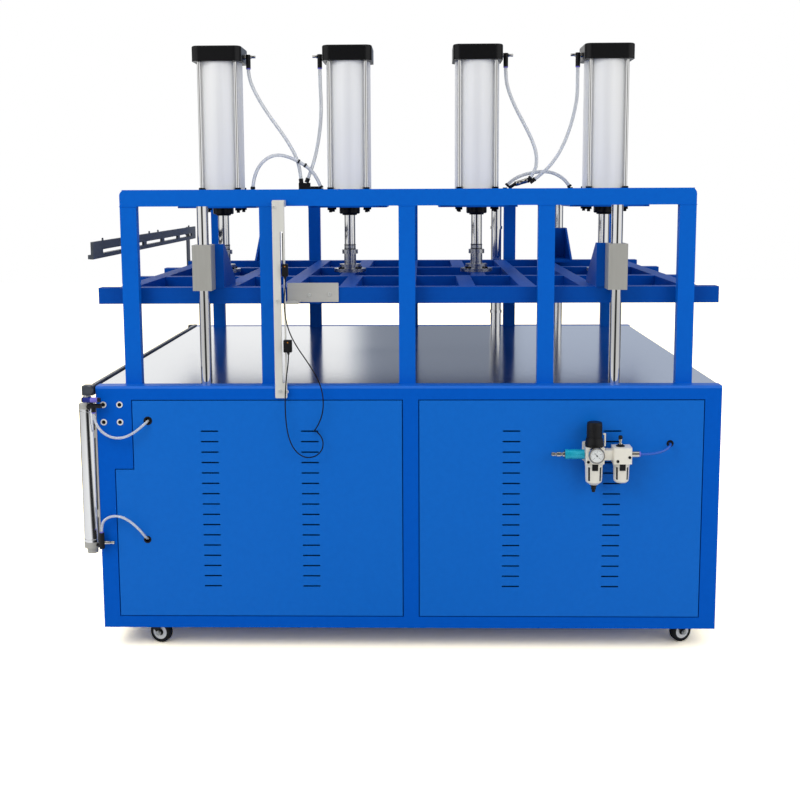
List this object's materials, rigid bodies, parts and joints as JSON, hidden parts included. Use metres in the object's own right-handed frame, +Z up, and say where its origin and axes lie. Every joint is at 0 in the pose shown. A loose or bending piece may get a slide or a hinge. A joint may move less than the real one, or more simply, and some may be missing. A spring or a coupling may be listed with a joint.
{
  "type": "compression packing machine",
  "caption": "Floor-standing compression packing machine: a steel cabinet with a flat table, a portal frame, a row of vertical air cylinders and a press platen sliding on guide columns.",
  "frame": {"origin": "on the floor, in the middle of the machine's footprint", "axes": "+Z up, +X to the right seen from the side with the air preparation unit, +Y towards the back"},
  "size_m": [1.961, 1.7629, 1.94],
  "materials": {
    "anodised_aluminium": "drawn tube, clear anodised",
    "black_anodised": "die-cast, satin black",
    "black_cable": "sheathed cable",
    "black_plastic": "moulded, matte",
    "black_steel": "black enamel",
    "blue_paint": "smooth powder coat, semi-gloss",
    "blue_tube": "tinted flexible tube",
    "caster_tyre": "moulded tyre",
    "chrome_rod": "hard chrome, ground",
    "clear_hose": "clear flexible tube",
    "cream_plastic": "moulded",
    "dark_grey_bar": "satin grey",
    "gauge_white": "white dial under a clear lens",
    "milled_aluminium": "milled, satin",
    "polished_stainless": "polished tube",
    "stainless_steel": "rolled sheet, semi-gloss",
    "turned_steel": "turned, bright",
    "zinc_steel": "zinc plated"
  },
  "bodies": {
    "machine": {"air_fittings": "black_plastic", "air_unit_body": "milled_aluminium", "air_unit_bowls": "cream_plastic", "air_unit_couplings": "turned_steel", "cabinet_floor": "blue_paint", "cabinet_panels": "blue_paint", "cabinet_posts": "blue_paint", "cabinet_rails": "blue_paint", "caster_plates": "zinc_steel", "corner_plate": "blue_paint", "cylinder_1_hose": "clear_hose", "cylinder_2_hose": "clear_hose", "cylinder_3_hose": "clear_hose", "cylinder_4_hose": "clear_hose", "cylinder_barrels": "anodised_aluminium", "cylinder_beams": "blue_paint", "cylinder_caps": "black_anodised", "cylinder_plates": "blue_paint", "guide_columns": "chrome_rod", "left_link_hose": "clear_hose", "lower_sensor_cable": "black_cable", "outlet_hose": "blue_tube", "panel_stops": "blue_paint", "portal_rails": "blue_paint", "portal_uprights": "blue_paint", "position_sensors": "black_plastic", "pressure_gauge": "gauge_white", "right_link_hose": "clear_hose", "seal_cylinder_barrels": "polished_stainless", "seal_cylinder_caps": "milled_aluminium", "seal_cylinder_mounts": "milled_aluminium", "sensor_bar": "milled_aluminium", "side_cylinder_lower_hose": "clear_hose", "side_cylinder_upper_hose": "clear_hose", "table_edges": "blue_paint", "table_top": "stainless_steel", "tie_rods": "chrome_rod", "upper_sensor_cable": "black_cable"},
    "platen": {"bearing_blocks": "milled_aluminium", "bearing_brackets": "blue_paint", "piston_rods": "chrome_rod", "platen_beams": "blue_paint", "platen_cross_tubes": "blue_paint", "press_plate": "blue_paint", "rod_couplings": "turned_steel", "seal_bar_hangers": "dark_grey_bar", "switch_arm": "milled_aluminium", "upper_seal_bar": "dark_grey_bar"},
    "lower_sealer": {"lower_seal_bar": "dark_grey_bar", "seal_cylinder_rods": "chrome_rod"},
    "knob": {"regulator_knob": "black_plastic"},
    "fork_1": {"caster_fork_1": "black_steel"},
    "wheel_1": {"caster_wheel_1": "caster_tyre"},
    "fork_2": {"caster_fork_2": "black_steel"},
    "wheel_2": {"caster_wheel_2": "caster_tyre"},
    "fork_3": {"caster_fork_3": "black_steel"},
    "wheel_3": {"caster_wheel_3": "caster_tyre"},
    "fork_4": {"caster_fork_4": "black_steel"},
    "wheel_4": {"caster_wheel_4": "caster_tyre"}
  },
  "joints": [
    {"name": "platen_slide", "type": "slide", "parent": "machine", "child": "platen", "axis": [0, 0, 1], "range_m": [-0.225, 0.1]},
    {"name": "lower_sealer_lift", "type": "slide", "parent": "machine", "child": "lower_sealer", "axis": [0, 0, 1], "range_m": [0, 0.105]},
    {"name": "knob_turn", "type": "hinge", "parent": "machine", "child": "knob", "pos_m": [0.5855, -0.8215, 0.7], "axis": [0, 0, 1], "continuous": true},
    {"name": "caster_1_swivel", "type": "hinge", "parent": "machine", "child": "fork_1", "pos_m": [-0.7935, -0.6885, 0.095], "axis": [0, 0, 1], "continuous": true},
    {"name": "caster_1_roll", "type": "hinge", "parent": "fork_1", "child": "wheel_1", "pos_m": [-0.76466, -0.69677, 0.035], "axis": [0.2756, 0.9613, 0], "continuous": true},
    {"name": "caster_2_swivel", "type": "hinge", "parent": "machine", "child": "fork_2", "pos_m": [-0.7935, 0.7815, 0.095], "axis": [0, 0, 1], "continuous": true},
    {"name": "caster_2_roll", "type": "hinge", "parent": "fork_2", "child": "wheel_2", "pos_m": [-0.76416, 0.78774, 0.035], "axis": [-0.2079, 0.9781, 0], "continuous": true},
    {"name": "caster_3_swivel", "type": "hinge", "parent": "machine", "child": "fork_3", "pos_m": [0.8625, -0.6885, 0.095], "axis": [0, 0, 1], "continuous": true},
    {"name": "caster_3_roll", "type": "hinge", "parent": "fork_3", "child": "wheel_3", "pos_m": [0.88991, -0.6763, 0.035], "axis": [-0.4067, 0.9135, 0], "continuous": true},
    {"name": "caster_4_swivel", "type": "hinge", "parent": "machine", "child": "fork_4", "pos_m": [0.8625, 0.7815, 0.095], "axis": [0, 0, 1], "continuous": true},
    {"name": "caster_4_roll", "type": "hinge", "parent": "fork_4", "child": "wheel_4", "pos_m": [0.89221, 0.77733, 0.035], "axis": [0.1392, 0.9903, 0], "continuous": true}
  ]
}
